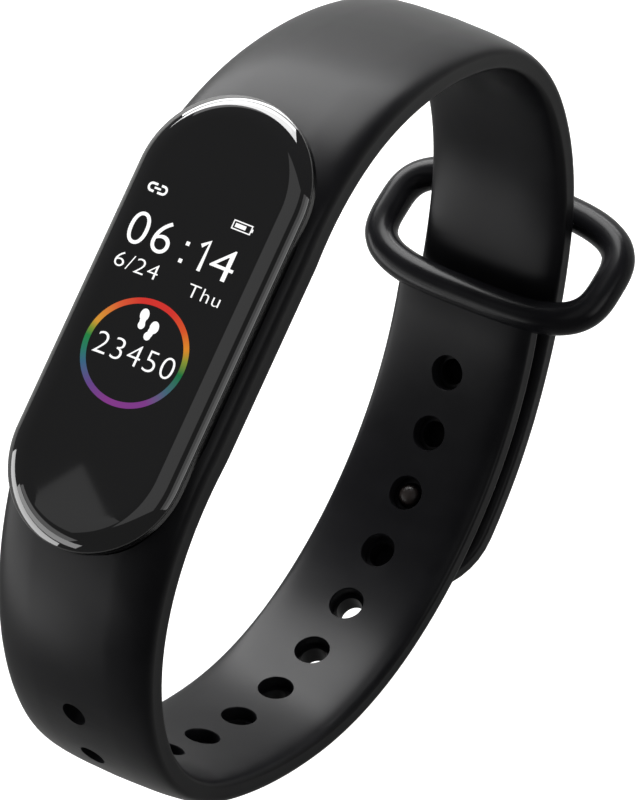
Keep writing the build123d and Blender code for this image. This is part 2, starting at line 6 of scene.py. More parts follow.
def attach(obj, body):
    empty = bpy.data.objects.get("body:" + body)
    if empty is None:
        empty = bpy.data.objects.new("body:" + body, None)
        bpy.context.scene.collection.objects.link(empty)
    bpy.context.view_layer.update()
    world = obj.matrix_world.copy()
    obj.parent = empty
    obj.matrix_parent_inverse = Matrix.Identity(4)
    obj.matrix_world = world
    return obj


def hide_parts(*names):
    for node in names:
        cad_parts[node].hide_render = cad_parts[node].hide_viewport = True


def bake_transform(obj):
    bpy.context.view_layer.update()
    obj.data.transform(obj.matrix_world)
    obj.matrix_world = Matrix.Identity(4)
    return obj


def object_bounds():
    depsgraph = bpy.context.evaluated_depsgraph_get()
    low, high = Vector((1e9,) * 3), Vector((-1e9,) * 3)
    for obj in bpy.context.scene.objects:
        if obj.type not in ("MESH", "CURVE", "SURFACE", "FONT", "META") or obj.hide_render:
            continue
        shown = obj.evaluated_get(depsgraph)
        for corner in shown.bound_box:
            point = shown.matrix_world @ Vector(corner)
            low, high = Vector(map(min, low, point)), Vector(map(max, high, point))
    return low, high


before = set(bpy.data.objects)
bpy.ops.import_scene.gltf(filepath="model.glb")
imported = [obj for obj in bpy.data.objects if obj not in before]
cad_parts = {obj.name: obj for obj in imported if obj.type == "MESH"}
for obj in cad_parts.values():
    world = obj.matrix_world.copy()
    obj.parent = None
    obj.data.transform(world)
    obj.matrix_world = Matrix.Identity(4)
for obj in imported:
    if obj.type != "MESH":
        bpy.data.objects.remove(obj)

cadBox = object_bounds()
mm = 0.001
print("frame loaded,", len(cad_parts), "parts")


def startClean():
    if bpy.context.object and bpy.context.object.mode != "OBJECT":
        bpy.ops.object.mode_set(mode="OBJECT")
    bpy.ops.object.select_all(action="DESELECT")


def pickOnly(piece):
    startClean()
    piece.select_set(True)
    bpy.context.view_layer.objects.active = piece


def settle(piece):
    # the place, turn and size go into the mesh
    pickOnly(piece)
    bpy.ops.object.transform_apply(location=True, rotation=True, scale=True)


def useModifier(piece, kind, **settings):
    pickOnly(piece)
    modifier = piece.modifiers.new(kind.title(), kind)
    for name, value in settings.items():
        setattr(modifier, name, value)
    bpy.ops.object.modifier_apply(modifier=modifier.name)


def smoothBy(piece, degrees):
    pickOnly(piece)
    bpy.ops.object.shade_smooth_by_angle(angle=math.radians(degrees))


def fixNormals(piece):
    pickOnly(piece)
    bpy.ops.object.mode_set(mode="EDIT")
    bpy.ops.mesh.select_all(action="SELECT")
    bpy.ops.mesh.remove_doubles(threshold=1e-7)
    bpy.ops.mesh.normals_make_consistent(inside=False)
    bpy.ops.object.mode_set(mode="OBJECT")


def joinAll(pieces, name):
    startClean()
    for piece in pieces:
        piece.select_set(True)
    bpy.context.view_layer.objects.active = pieces[0]
    if len(pieces) > 1:
        bpy.ops.object.join()
    pieces[0].name = name
    pieces[0].data.name = name
    return pieces[0]


def toMesh(piece):
    pickOnly(piece)
    bpy.ops.object.convert(target="MESH")
    return bpy.context.object


def turnedPiece(name, steps, sides=48):
    # a round piece built up along +Z from (height, radius) pairs in mm, each ring extruded from the last
    startClean()
    height, radius = steps[0]
    bpy.ops.mesh.primitive_circle_add(vertices=sides, radius=radius * mm, fill_type="NGON",
                                      location=(0, 0, height * mm))
    piece = bpy.context.object
    piece.name = name
    settle(piece)
    bpy.ops.object.mode_set(mode="EDIT")
    bpy.ops.mesh.select_all(action="SELECT")
    for nextHeight, nextRadius in steps[1:]:
        bpy.ops.mesh.extrude_region_move(
            TRANSFORM_OT_translate={"value": (0, 0, (nextHeight - height) * mm)})
        share = nextRadius / radius
        bpy.ops.transform.resize(value=(share, share, 1), center_override=(0, 0, nextHeight * mm))
        height, radius = nextHeight, nextRadius
    fixNormals(piece)
    return piece


def stadiumPiece(name, length, width, low, high, sides=96):
    # a flat-sided oval block, long along Y, from height low to height high in mm
    startClean()
    bpy.ops.mesh.primitive_cylinder_add(vertices=sides, radius=width / 2 * mm, depth=(high - low) * mm,
                                        location=(0, 0, (low + high) / 2 * mm),
                                        rotation=(0, 0, math.pi / sides))
    piece = bpy.context.object
    piece.name = name
    settle(piece)
    reach = (length - width) / 2 * mm
    for point in piece.data.vertices:
        point.co.y += math.copysign(reach, point.co.y)
    return piece


# the band lies flat first and is then curved round the wrist
bandValues = {
    "start": (19.671, -21.894),      # inner face at the keeper ring, across and up, mm
    "heading": 215.3,                # which way it sets off, degrees
    "bends": [(36.6, 53.6), (30.5, 30.1), (47.2, 19.4), (20.7, 44.2), (27.0, 68.0), (20.6, 0),
              (25.1, 38.9), (36.6, 26.6), (21.7, 44.9), (31.554, 31.1545), (55.485, 18.0174),
              (40.3, 30.7613)],      # radius and turn, or length and 0 where it is straight
    "cradle": (114.257, 134.857),    # where the straight part under the tracker begins and ends
    "end": 242.137,                  # whole length
    "flex": 210.773,                 # where the free end bends out
    "taper": 45.0, "taperPower": 1.5,        # how far from the tracker it widens, and how suddenly
    "width": (16.1, 20.8),           # behind the wrist, and at the tracker, like the next three
    "side": (2.9, 4.8),              # thickness at the sides
    "crown": (0.4, 1.9),             # how much thicker it is in the middle
    "parting": (1.25, 1.9),          # height of the mould line above the inner face
    "innerSquare": 3.4,              # how square the rolled inner edges are
    "outerSquare": 7.0,
    "groove": 0.05,                  # depth of the mould line
    "spine": 0.2,                    # height above the mould line towards which the ends thin
    "tipRound": 8.05, "tipEdge": 1.2, "tipNarrowest": 0.02, "tipThinnest": 0.25,
    "tipPowers": (2.5, 0.4),         # the roundness of the end's edge
    "root": 3, "rootThin": 0.78,     # the holed end narrows into the keeper ring's bar
    "block": 12.5, "blockCuts": 11,  # how finely the bar is cut along its length
    "splitBefore": 4.0,              # the free end's piece starts this far before the flexing place
    "bendHalf": 3.5,                 # half the stretch that bends
    "sharp": 32,                     # edges turned by more degrees than this stay crisp
}


def bandLine():
    # the arcs as bezier pieces on a flat curve: x is across the wrist opening and y is up
    startClean()
    bpy.ops.curve.primitive_bezier_curve_add(location=(0, 0, 0))
    line = bpy.context.object
    line.name = "bandLine"
    line.data.dimensions = "2D"
    line.data.resolution_u = 64
    knots = line.data.splines[0].bezier_points
    knots.add(len(bandValues["bends"]) - 1)
    place = Vector(bandValues["start"]) * mm
    heading = math.radians(bandValues["heading"])
    for knot in knots:
        knot.handle_left_type = knot.handle_right_type = "FREE"
    knots[0].co = knots[0].handle_left = (*place, 0)
    for knot, after, (size, turn) in zip(knots, knots[1:], bandValues["bends"]):
        turn = math.radians(turn)
        ahead = Vector((math.cos(heading), math.sin(heading)))
        if turn:
            handle = 4 / 3 * math.tan(turn / 4) * size * mm
            centre = place + Vector((ahead.y, -ahead.x)) * size * mm
            heading -= turn
            turned = Vector((math.cos(heading), math.sin(heading)))
            end = centre - Vector((turned.y, -turned.x)) * size * mm
        else:
            handle = size * mm / 3
            turned = ahead
            end = place + ahead * size * mm
        knot.handle_right = (*(place + ahead * handle), 0)
        after.co = (*end, 0)
        after.handle_left = (*(end - turned * handle), 0)
        after.handle_right = (*(end + turned * handle), 0)
        place = end
    return line


def tapered(key, along):
    # a size of the band, at a distance along its whole length
    cradleStart, cradleEnd = bandValues["cradle"]
    arm = max(cradleStart - along, along - cradleEnd, 0)
    left = max(0, 1 - arm / bandValues["taper"]) ** bandValues["taperPower"]
    far, near = bandValues[key]
    return far + (near - far) * left


def sectionPoint(along, angle, narrowing, thinning):
    # across and outward place of one point of the moulded section
    half = tapered("width", along) / 2 * narrowing
    side, crown, parting = (tapered(key, along) for key in ("side", "crown", "parting"))
    s, c = math.sin(angle), math.cos(angle)
    power = 2 / bandValues["innerSquare" if c < 0 else "outerSquare"]
    across = math.copysign(abs(s) ** power, s)
    if c < 0:
        height = parting * (1 - abs(c) ** power)
    else:
        height = parting + c ** power * (side - parting + crown * (1 - across ** 2))
    groove = bandValues["groove"] if abs(c) < 1e-4 else 0
    middle = parting + bandValues["spine"]
    return across * (half - groove), middle + (height - middle) * thinning


def makeBand(name, start, end, sides=96, cutters=()):
    # a long straight bar, shaped to the section, punched, and then curved along the line
    length = (end - start) * mm
    startClean()
    bpy.ops.mesh.primitive_cylinder_add(vertices=sides, radius=1, depth=length,
                                        location=(start * mm + length / 2, 0, 0),
                                        rotation=(0, math.pi / 2, 0))
    piece = bpy.context.object
    piece.name = name
    settle(piece)
    blocks = max(4, round((end - start) / bandValues["block"]))
    for number in (blocks - 1, bandValues["blockCuts"]):
        bpy.ops.object.mode_set(mode="EDIT")
        bpy.ops.mesh.select_mode(type="EDGE")
        bpy.ops.mesh.select_all(action="DESELECT")
        bpy.ops.object.mode_set(mode="OBJECT")
        points = piece.data.vertices
        for edge in piece.data.edges:
            a, b = (points[i].co for i in edge.vertices)
            edge.select = abs(a.x - b.x) > 1e-5
        bpy.ops.object.mode_set(mode="EDIT")
        bpy.ops.mesh.subdivide(number_cuts=number)
        bpy.ops.object.mode_set(mode="OBJECT")
    tip, tipEdge, root = bandValues["tipRound"], bandValues["tipEdge"], bandValues["root"]
    steep, soft = bandValues["tipPowers"]
    for point in piece.data.vertices:
        along = point.co.x / mm
        angle = math.atan2(point.co.z, point.co.y)
        narrowing = thinning = 1
        if along > bandValues["end"] - tip:
            # the free end is rounded, and its rings close up towards the end
            turn = (along - bandValues["end"] + tip) / tip * math.pi / 2
            along = bandValues["end"] - tip + tip * math.sin(turn)
            narrowing = max(math.cos(turn), bandValues["tipNarrowest"])
            edge = max(0, (along - bandValues["end"] + tipEdge) / tipEdge)
            thinning = max(bandValues["tipThinnest"], (1 - min(edge, 1) ** steep) ** soft)
        if along < root:
            thinning = bandValues["rootThin"]
            thinning += (1 - thinning) * math.sin(along / root * math.pi / 2)
        across, outward = sectionPoint(along, angle, narrowing, thinning)
        point.co = (along * mm, outward * mm, across * mm)
    fixNormals(piece)
    for cutter in cutters:
        useModifier(piece, "BOOLEAN", object=cutter, operation="DIFFERENCE", solver="EXACT")
        bpy.data.objects.remove(cutter)
    useModifier(piece, "CURVE", object=centreLine, deform_axis="POS_X")
    piece.matrix_world = Matrix(((0, 0, 1, 0), (1, 0, 0, 0), (0, 1, 0, 0), (0, 0, 0, 1)))
    settle(piece)
    return piece


centreLine = bandLine()
print("band line laid")

# adjusting holes
holeValues = {
    "count": 13, "pitch": 6.5, "first": 8.1,        # mm from the ring's bar
    "profile": [(-0.4, 1.84), (-0.02, 1.84), (0.06, 1.77), (0.14, 1.75), (1.3, 1.75),
                (1.3, 1.3), (9.0, 1.3)],            # height above the inner face, radius
}
punch = turnedPiece("punch", holeValues["profile"])
punch.matrix_world = Matrix.Rotation(-math.pi / 2, 4, "X")
settle(punch)
punches = []
for i in range(holeValues["count"]):
    copy = punch.copy()
    copy.data = punch.data.copy()
    bpy.context.collection.objects.link(copy)
    copy.location.x = (holeValues["first"] + i * holeValues["pitch"]) * mm
    settle(copy)
    punches.append(copy)
bpy.data.objects.remove(punch)
holePunch = joinAll(punches, "holePunch")

splitAt = bandValues["flex"] - bandValues["splitBefore"]
strap = makeBand("strap", 0, splitAt, cutters=[holePunch])
freeEnd = makeBand("strapFreeEnd", splitAt, bandValues["end"])
print("strap curved,", len(strap.data.polygons), "faces")

# cradle for the tracker
podValues = {
    "top": 35.0, "length": 46.9, "width": 18.8,     # cover glass
    "gap": 0.2,
    "collarBottom": 2.1, "waistIn": 0.8, "footIn": 1.9, "ledge": 6.4,     # depths and insets
    "cutDepth": 12.0, "cutTop": 45.0,               # the cuts run right through the strap
}
gap = podValues["gap"]
for inset, depth in ((0, podValues["collarBottom"] + gap), (podValues["waistIn"], podValues["ledge"]),
                     (podValues["footIn"], podValues["cutDepth"])):
    wider = 2 * (gap - inset)
    cutter = stadiumPiece("cradleCut", podValues["length"] + wider, podValues["width"] + wider,
                          podValues["top"] - depth, podValues["cutTop"])
    useModifier(strap, "BOOLEAN", object=cutter, operation="DIFFERENCE", solver="EXACT")
    bpy.data.objects.remove(cutter)
smoothBy(strap, bandValues["sharp"])
useModifier(strap, "WEIGHTED_NORMAL", keep_sharp=True)     # even shading round the holes
smoothBy(freeEnd, bandValues["sharp"])
print("cradle cut,", len(strap.data.polygons), "faces")

ringValues = {
    "middle": (20.509, -23.077),     # middle of the bar that the holed arm ends in
    "lean": (0.969445, -0.245307),   # which way the ring leans, across and up
    "length": 26.0, "depth": 12.4, "bar": 3.4, "square": 3.2, "steps": 160, "sharp": 60,
}
startClean()
bpy.ops.curve.primitive_nurbs_circle_add(radius=mm)
ring = bpy.context.object
ring.data.splines.clear()
loop = ring.data.splines.new("POLY")
loop.points.add(ringValues["steps"] - 1)
loop.use_cyclic_u = True
lean = Vector((0, *ringValues["lean"]))
ringMiddle = Vector((0, *ringValues["middle"])) * mm + lean * ringValues["depth"] / 2 * mm
power = 2 / ringValues["square"]
for i, point in enumerate(loop.points):
    turn = 2 * math.pi * i / ringValues["steps"]
    s, c = math.sin(turn), math.cos(turn)
    across = math.copysign(abs(c) ** power, c) * ringValues["length"] / 2 * mm
    along = math.copysign(abs(s) ** power, s) * ringValues["depth"] / 2 * mm
    place = ringMiddle + Vector((1, 0, 0)) * across + lean * along
    point.co = (*place, 1)
ring.data.dimensions = "3D"
ring.data.bevel_depth = ringValues["bar"] / 2 * mm
ring.data.bevel_resolution = 8
ring = toMesh(ring)
ring.name = "keeperRing"
fixNormals(ring)
smoothBy(ring, ringValues["sharp"])
print("keeper ring made")

studValues = {
    "place": (0, -0.0296, -28.5946),          # wrist side of its hole
    "axis": (0, 0.039588, -0.999216),         # outward
    "profile": [(0.33, 0.12), (0.36, 0.42), (0.46, 0.72), (0.62, 0.94), (0.82, 1.07), (1.0, 1.1),
                (1.12, 1.06), (1.2, 0.85), (3.7, 0.85), (3.7, 1.82), (3.78, 1.9), (4.2, 1.9),
                (4.2, 1.0), (5.98, 1.0)],     # height along the axis, radius
    "sharp": 40,
}
stud = turnedPiece("closureStud", studValues["profile"])
stud.matrix_world = Matrix.Translation(Vector(studValues["place"]) * mm) @ \
    Vector((0, 0, 1)).rotation_difference(Vector(studValues["axis"])).to_matrix().to_4x4()
settle(stud)
smoothBy(stud, studValues["sharp"])
print("stud turned")

# cover glass with its rolled rim
glassValues = {
    "thickness": 1.3, "foot": 0.14,           # the foot is the upright edge below the roll
    "rollWide": 2.6, "rollSteps": 18, "innerLine": 0.4, "sharp": 50,
}
top = podValues["top"]
under = top - glassValues["thickness"]
glass = stadiumPiece("coverGlass", podValues["length"], podValues["width"], under,
                     under + glassValues["foot"])
pickOnly(glass)
bpy.ops.object.mode_set(mode="EDIT")
bpy.ops.mesh.select_mode(type="FACE")
bpy.ops.mesh.select_all(action="DESELECT")
bpy.ops.object.mode_set(mode="OBJECT")
for face in glass.data.polygons:
    face.select = face.normal.z > 0.9
bpy.ops.object.mode_set(mode="EDIT")
rise, wide = glassValues["thickness"] - glassValues["foot"], glassValues["rollWide"]
bend = (wide ** 2 + rise ** 2) / (2 * rise)        # radius of the roll, which meets the flat smoothly
steepest = math.asin(wide / bend)
for i in range(glassValues["rollSteps"], 0, -1):
    outer, inner = (steepest * j / glassValues["rollSteps"] for j in (i, i - 1))
    bpy.ops.mesh.inset(thickness=bend * (math.sin(outer) - math.sin(inner)) * mm,
                       depth=bend * (math.cos(inner) - math.cos(outer)) * mm, use_even_offset=True)
bpy.ops.mesh.inset(thickness=glassValues["innerLine"] * mm, depth=0)
fixNormals(glass)
smoothBy(glass, glassValues["sharp"])
print("glass shaped")

# what the display shows
screenValues = {
    "lift": 0.015,                   # above the glass, mm
    # words, left, right, foot and height, and how much the strokes are thinned
    "texts": [("06", -6.8, -1.9, 5.95, 3.3, -0.009), ("4", 2.85, 5.5, 5.72, 3.15, -0.009),
              ("6/24", -6.7, -1.75, 3.45, 1.5, -0.012),
              ("Thu", 1.9, 5.6, 3.2, 1.3, -0.01), ("23450", -4.85, 4.15, -4.95, 2.15, -0.015)],
    "spacing": 1.08,
    "flatten": 0.01,                 # a drawn line keeps this share of its thickness
    "stroke": 0.4,                   # width of the digits that are drawn as lines
    "colon": [[(-0.38, 6.12), (0.02, 6.12)], [(-0.38, 7.9), (0.02, 7.9)]],
    "one": [(1.25, 8.2), (2.0, 8.83), (2.0, 5.82)],
    "ring": (-0.48, -3.68, 5.15, 1.05, 0.3),        # centre, radius, stretch across, half its width
}
screenTop = (top + screenValues["lift"]) * mm


def flatText(words, left, right, base, height, weight):
    startClean()
    bpy.ops.object.text_add(location=(0, 0, 0))
    text = bpy.context.object
    text.data.body = words
    text.data.size = 1
    text.data.offset = weight        # below 0 thins the strokes
    text.data.space_character = screenValues["spacing"]
    text = toMesh(text)
    low = Vector([min(v.co[i] for v in text.data.vertices) for i in range(3)])
    high = Vector([max(v.co[i] for v in text.data.vertices) for i in range(3)])
    for point in text.data.vertices:
        point.co = ((left + (point.co.x - low.x) / (high.x - low.x) * (right - left)) * mm,
                    (base + (point.co.y - low.y) / (high.y - low.y) * height) * mm, screenTop)
    return text


def flatStroke(points, width, closed=False):
    # a drawn line of even width with round ends, pressed flat
    startClean()
    bpy.ops.curve.primitive_nurbs_path_add()
    stroke = bpy.context.object
    stroke.data.splines.clear()
    line = stroke.data.splines.new("POLY")
    line.points.add(len(points) - 1)
    for point, (x, y) in zip(line.points, points):
        point.co = (x * mm, y * mm, 0, 1)
    line.use_cyclic_u = closed
    stroke.data.bevel_depth = width / 2 * mm
    stroke.data.bevel_resolution = 3
    stroke.data.use_fill_caps = not closed
    stroke = toMesh(stroke)
    for point in stroke.data.vertices:
        point.co.z = screenTop + point.co.z * screenValues["flatten"]
    return stroke


def flatBlob(x, y, wide, tall, turn):
    startClean()
    bpy.ops.mesh.primitive_circle_add(vertices=32, radius=1, fill_type="NGON")
    blob = bpy.context.object
    blob.matrix_world = Matrix.Translation((x * mm, y * mm, screenTop)) @ \
        Matrix.Rotation(math.radians(turn), 4, "Z") @ \
        Matrix.Diagonal((wide / 2 * mm, tall / 2 * mm, 1, 1))
    settle(blob)
    return blob


def arcPoints(x, y, radius, start, end, count=24, wide=1.0):
    return [(x + radius * wide * math.cos(math.radians(start + (end - start) * i / count)),
             y + radius * math.sin(math.radians(start + (end - start) * i / count)))
            for i in range(count + 1)]


words = [flatText(*text) for text in screenValues["texts"]]
words += [flatStroke(line, screenValues["stroke"]) for line in screenValues["colon"] + [screenValues["one"]]]
clock = joinAll(words, "screenDigits")

iconValues = {
    "link": (-5.65, 11.75), "linkHalf": 0.38, "linkLine": 0.24,
    "linkEnds": [(-1, 0.12, 0.3, 100, 260), (1, 0.3, 0.12, 80, -80)],   # side, upper and lower end, arc
    "linkStraight": 0.5, "linkArc": 0.62, "linkBar": (0.36, 0.2),       # the bar's half length and width
    "battery": (3.36, 5.42, 10.83, 11.66), "batteryLine": 0.12,         # left, right, low, high
    "charge": (0.25, 1.45, 0.4),     # start and end from the left, width
    "knob": (0.14, 0.16, 0.14),      # distance past the right, half height, width
    "feet": [(-1.2, -0.22, 0.12), (0.32, -1.02, -0.32)],                # place, and how far the heel leans
    # share of the lean, height, width and length of the ball, waist and heel
    "footParts": [(0, 0.28, 0.98, 1.25), (0.55, -0.3, 0.64, 1.0), (1, -0.72, 0.76, 0.85)],
    "footTurn": 10,
}
icons = []
linkX, linkY = iconValues["link"]
linkHalf, linkStraight = iconValues["linkHalf"], iconValues["linkStraight"]
for side, upper, lower, arcStart, arcEnd in iconValues["linkEnds"]:
    line = [(linkX + side * upper, linkY + linkHalf), (linkX + side * linkStraight, linkY + linkHalf)]
    line += arcPoints(linkX + side * iconValues["linkArc"], linkY, linkHalf, arcStart, arcEnd)
    line += [(linkX + side * linkStraight, linkY - linkHalf), (linkX + side * lower, linkY - linkHalf)]
    icons.append(flatStroke(line, iconValues["linkLine"]))
barHalf, barLine = iconValues["linkBar"]
icons.append(flatStroke([(linkX - barHalf, linkY), (linkX + barHalf, linkY)], barLine))
left, right, low, high = iconValues["battery"]
batteryLine = iconValues["batteryLine"]
for y in (low, high):
    icons.append(flatStroke([(left - batteryLine / 2, y), (right + batteryLine / 2, y)], batteryLine))
for x in (left, right):
    icons.append(flatStroke([(x, low), (x, high)], batteryLine))
middle = (low + high) / 2
chargeStart, chargeEnd, chargeLine = iconValues["charge"]
icons.append(flatStroke([(left + chargeStart, middle), (left + chargeEnd, middle)], chargeLine))
knobOut, knobHalf, knobLine = iconValues["knob"]
knobX = right + knobOut
icons.append(flatStroke([(knobX, middle - knobHalf), (knobX, middle + knobHalf)], knobLine))
for footX, footY, heel in iconValues["feet"]:
    for share, up, wide, tall in iconValues["footParts"]:
        icons.append(flatBlob(footX + heel * share, footY + up, wide, tall, iconValues["footTurn"]))
iconPiece = joinAll(icons, "screenIcons")

ringX, ringY, ringRadius, ringStretch, ringHalf = screenValues["ring"]
ringLine = arcPoints(ringX, ringY, ringRadius, 0, 360, 128, ringStretch)[:-1]
activityRing = flatStroke(ringLine, ringHalf * 2, closed=True)
activityRing.name = "activityRing"
print("display drawn")


def hexColour(code):
    # sRGB hex to the linear values that a shader takes
    parts = [int(code[i:i + 2], 16) / 255 for i in (1, 3, 5)]
    return [c / 12.92 if c <= 0.04045 else ((c + 0.055) / 1.055) ** 2.4 for c in parts] + [1]


def addNode(tree, kind, values=None, links=None, **settings):
    node = tree.nodes.new(kind)
    for name, value in settings.items():
        setattr(node, name, value)
    for socket, value in (values or {}).items():
        node.inputs[socket].default_value = value
    for socket, source in (links or {}).items():
        tree.links.new(source, node.inputs[socket])
    return node


def newMaterial(name, **sockets):
    material = bpy.data.materials.new(name)
    material.use_nodes = True
    tree = material.node_tree
    shader = tree.nodes["Principled BSDF"]
    for socket, value in sockets.items():
        shader.inputs[socket.replace("_", " ")].default_value = value
    coords = addNode(tree, "ShaderNodeTexCoord").outputs["Object"]
    return material, tree, shader, coords


def toneRamp(tree, source, tones, low=0.0, high=1.0):
    ramp = addNode(tree, "ShaderNodeValToRGB", links={"Fac": source})
    first, last = ramp.color_ramp.elements
    first.position, last.position = low, high
    first.color, last.color = map(hexColour, tones)
    return ramp


def mottle(tree, shader, coords, tones, rough, spot, grain, depth, stretch=(1, 1, 1)):
    # colour and roughness wander over spots of one size, with a fine surface grain of another, all in mm
    spread = addNode(tree, "ShaderNodeMapping", {"Scale": stretch}, {"Vector": coords}).outputs["Vector"]
    cloud = addNode(tree, "ShaderNodeTexNoise", {"Scale": 1 / (spot * mm), "Detail": 3.0},
                    {"Vector": spread})
    ramp = toneRamp(tree, cloud.outputs["Fac"], tones, 0.35, 0.65)
    sheen = addNode(tree, "ShaderNodeMapRange", {"To Min": rough[0], "To Max": rough[1]},
                    {"Value": cloud.outputs["Fac"]})
    fine = addNode(tree, "ShaderNodeTexNoise", {"Scale": 1 / (grain * mm), "Detail": 2.0}, {"Vector": spread})
    bump = addNode(tree, "ShaderNodeBump", {"Strength": 1.0, "Distance": depth * mm},
                   {"Height": fine.outputs["Fac"]})
    tree.links.new(ramp.outputs["Color"], shader.inputs["Base Color"])
    tree.links.new(sheen.outputs["Result"], shader.inputs["Roughness"])
    tree.links.new(bump.outputs["Normal"], shader.inputs["Normal"])


materials = {}


def plainFinish(name, tones, rough, spot, grain, depth, stretch=(1, 1, 1), **sockets):
    material, tree, shader, coords = newMaterial(name, **sockets)
    mottle(tree, shader, coords, tones, rough, spot, grain, depth, stretch)
    materials[name] = material


# moulded elastomer: near black and satin, from a finely spark-worn mould
# its grain of 0.12 mm is drawn at 0.2 mm, so that it shows
plainFinish("mouldedElastomer", ("#0f0f11", "#121214"), (0.3, 0.34), 3.0, 0.2, 0.003, IOR=1.41,
            Specular_IOR_Level=0.16)
# the ring comes from a polished part of the mould, so it is a little glossier
plainFinish("polishedElastomer", ("#0e0e10", "#111113"), (0.22, 0.28), 3.0, 0.25, 0.002, IOR=1.41,
            Specular_IOR_Level=0.2)
# hard moulded nylon stud: dark brown black and shiny
plainFinish("mouldedNylon", ("#1d1817", "#241e1c"), (0.34, 0.42), 1.0, 0.2, 0.003, IOR=1.53,
            Specular_IOR_Level=0.25)
# PC/ABS case from a polished mould: glossy black with a faint unevenness
plainFinish("mouldedCase", ("#09090a", "#0c0c0d"), (0.12, 0.18), 2.0, 0.3, 0.001, IOR=1.55)
# infrared-clear polycarbonate: polished and almost black
plainFinish("polishedPolycarbonate", ("#08070b", "#0c0a10"), (0.06, 0.1), 4.0, 1.0, 0.001, IOR=1.58)
# silicone gasket: soft grey black
plainFinish("siliconeSeal", ("#2a2a2c", "#343436"), (0.55, 0.65), 1.0, 0.1, 0.01, IOR=1.43)
# foam tape and adhesives: dull, open pores of about 0.1 mm
plainFinish("foamTape", ("#1c1c1c", "#2a2a29"), (0.75, 0.9), 0.4, 0.1, 0.02, IOR=1.45)
# touch film: clear polyester with a faint grey tone
plainFinish("touchFilm", ("#8e9490", "#a3a8a4"), (0.08, 0.14), 3.0, 0.5, 0.001, IOR=1.6, Alpha=0.6)
# back of the display panel: dark polished glass
plainFinish("panelGlass", ("#0c0c10", "#14141a"), (0.05, 0.1), 5.0, 1.0, 0.001, IOR=1.52)
# rolled stainless sheet: fine lines along the rolling
plainFinish("rolledSteel", ("#8f8e8b", "#a9a8a4"), (0.28, 0.42), 0.6, 0.15, 0.004, (1, 0.06, 1), Metallic=1.0)
# polyimide ribbon: amber film over copper lines
plainFinish("polyimideFilm", ("#8a4b12", "#a86118"), (0.25, 0.35), 0.5, 0.2, 0.004, (1, 0.05, 1), IOR=1.7)
# moulded epoxy packages: matt with fine filler specks
plainFinish("mouldedEpoxy", ("#1d1d1e", "#2b2b2c"), (0.5, 0.65), 0.3, 0.06, 0.008, IOR=1.56)
# nickel plated sheet and cans: bright with faint draw marks
plainFinish("nickelPlate", ("#b3b0a8", "#c6c3bb"), (0.2, 0.34), 0.8, 0.12, 0.003, Metallic=1.0)
# fired ceramic: chalky white
plainFinish("firedCeramic", ("#c9c6bc", "#d8d5cc"), (0.45, 0.55), 0.4, 0.08, 0.004, IOR=1.7)
# zinc plated screw steel: bluish grey, slightly dull
plainFinish("zincPlate", ("#8d9093", "#a4a7aa"), (0.3, 0.45), 0.3, 0.08, 0.004, Metallic=1.0)
# laminated aluminium pouch foil: soft creases of about 1 mm
plainFinish("pouchFoil", ("#b4b5b8", "#c4c5c8"), (0.26, 0.4), 1.5, 1.0, 0.04, Metallic=1.0)
# clear cast resin over a light chip: pale green
plainFinish("castResin", ("#b9d8a0", "#cfe6b8"), (0.08, 0.15), 0.5, 0.2, 0.002, IOR=1.54, Alpha=0.85)
# coated silicon of the light sensor: deep violet and polished
plainFinish("coatedSilicon", ("#150a26", "#221138"), (0.05, 0.12), 0.6, 0.3, 0.001, IOR=1.9)
# hard gold on brass pins: warm, lightly worn in spots
plainFinish("goldPlate", ("#c79a4a", "#e0b566"), (0.18, 0.34), 0.5, 0.1, 0.003, Metallic=1.0)
# drawn spring strip: blued steel with fine lines along it
plainFinish("springSteel", ("#7d7d80", "#98989a"), (0.25, 0.38), 0.3, 0.06, 0.003, (0.1, 1, 1), Metallic=1.0)
# sintered magnet: dark grey with a fine grain
plainFinish("sinteredMagnet", ("#3a3a3d", "#4c4c50"), (0.4, 0.55), 0.3, 0.05, 0.006, Metallic=0.9)
# pressed tungsten weight: heavy grey, granular
plainFinish("pressedTungsten", ("#5f5f62", "#76767a"), (0.35, 0.5), 0.3, 0.05, 0.008, Metallic=1.0)

# circuit board: green solder mask over 0.3 mm tracks, which stand up and show paler
board, tree, shader, coords = newMaterial("solderMask", Roughness=0.35, IOR=1.55)
tracks = addNode(tree, "ShaderNodeTexBrick", {
    "Scale": 1 / (2.4 * mm), "Mortar Size": 0.06, "Brick Width": 0.8, "Row Height": 0.3,
    "Color1": hexColour("#0d2b18"), "Color2": hexColour("#10331d"), "Mortar": hexColour("#1f5a33"),
}, {"Vector": coords})
bump = addNode(tree, "ShaderNodeBump", {"Strength": 1.0, "Distance": 0.02 * mm},
               {"Height": tracks.outputs["Fac"]})
tree.links.new(tracks.outputs["Color"], shader.inputs["Base Color"])
tree.links.new(bump.outputs["Normal"], shader.inputs["Normal"])
materials["solderMask"] = board

# polished cover glass, printed black behind: deep, with the faintest clouds, 9 mm across
glassBlack, tree, shader, coords = newMaterial("polishedGlass", IOR=1.75, Roughness=0.02)
cloud = addNode(tree, "ShaderNodeTexNoise", {"Scale": 1 / (9 * mm), "Detail": 2.0}, {"Vector": coords})
ramp = toneRamp(tree, cloud.outputs["Fac"], ("#0d0d0e", "#0f0f10"))
haze = addNode(tree, "ShaderNodeMapRange", {"To Min": 0.015, "To Max": 0.03}, {"Value": cloud.outputs["Fac"]})
tree.links.new(ramp.outputs["Color"], shader.inputs["Base Color"])
tree.links.new(haze.outputs["Result"], shader.inputs["Roughness"])
materials["polishedGlass"] = glassBlack

